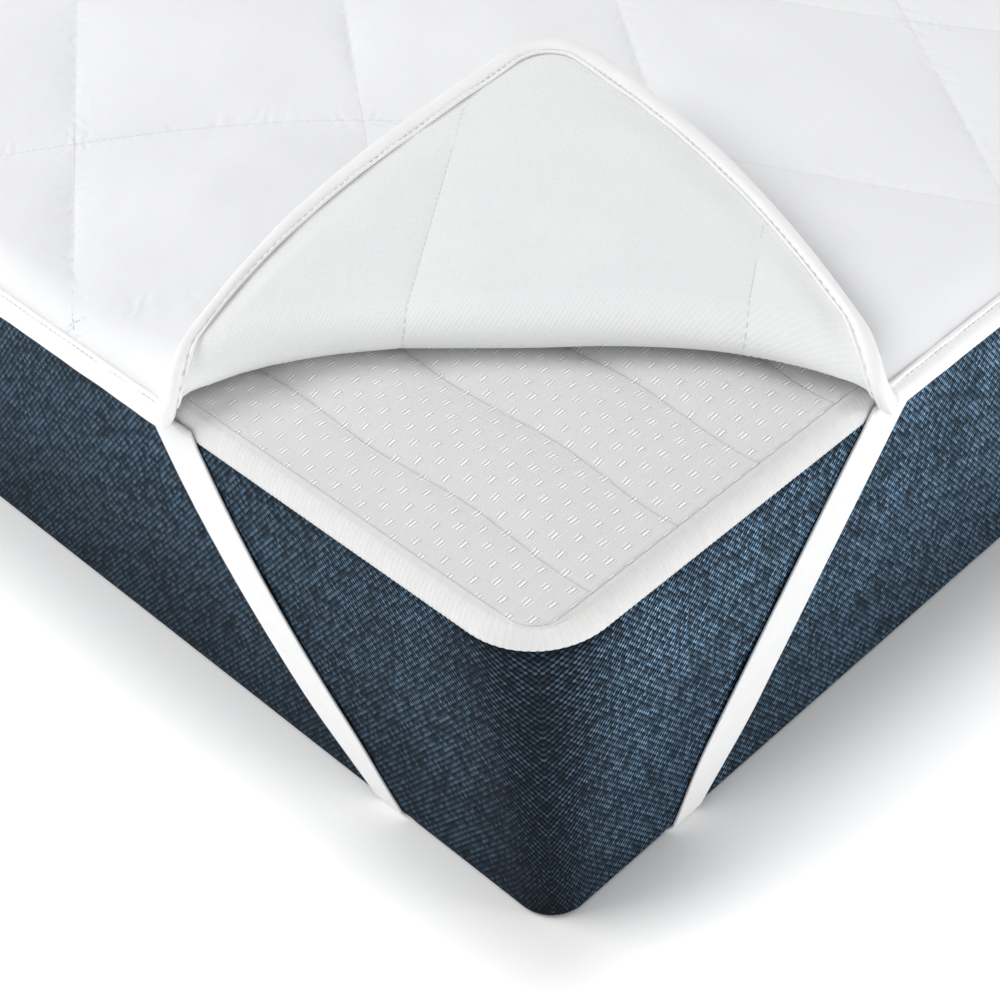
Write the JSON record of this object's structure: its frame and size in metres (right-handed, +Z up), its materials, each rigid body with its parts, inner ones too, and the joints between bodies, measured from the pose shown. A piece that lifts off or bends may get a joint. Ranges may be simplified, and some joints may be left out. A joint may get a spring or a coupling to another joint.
{
  "type": "mattress protector on a mattress",
  "caption": "Padded, diamond-quilted mattress protector with a bound edge and elastic corner straps, lying on a plain mattress with a corner folded back.",
  "frame": {"origin": "centre of the part's footprint, on the surface that the mattress stands on", "axes": "+Y along the mattress's length towards the far end, +X towards the long side beside the folded corner, +Z up"},
  "size_m": [0.9282, 2.0224, 0.2502],
  "materials": {
    "quilted_cover": "smooth white microfibre, quilted",
    "binding": "smooth white tape",
    "elastic": "white woven elastic",
    "mattress_side_cover": "navy melange twill",
    "mattress_top_cover": "light grey knit with small raised dashes",
    "mattress_edge_tape": "white ribbed tape"
  },
  "bodies": {
    "root": {"protector_panel": "quilted_cover", "protector_binding": "binding", "strap_front_right": "elastic", "strap_front_left": "elastic", "strap_back_right": "elastic", "strap_back_left": "elastic", "mattress_side": "mattress_side_cover", "mattress_top": "mattress_top_cover", "mattress_tape": "mattress_edge_tape"}
  },
  "joints": []
}
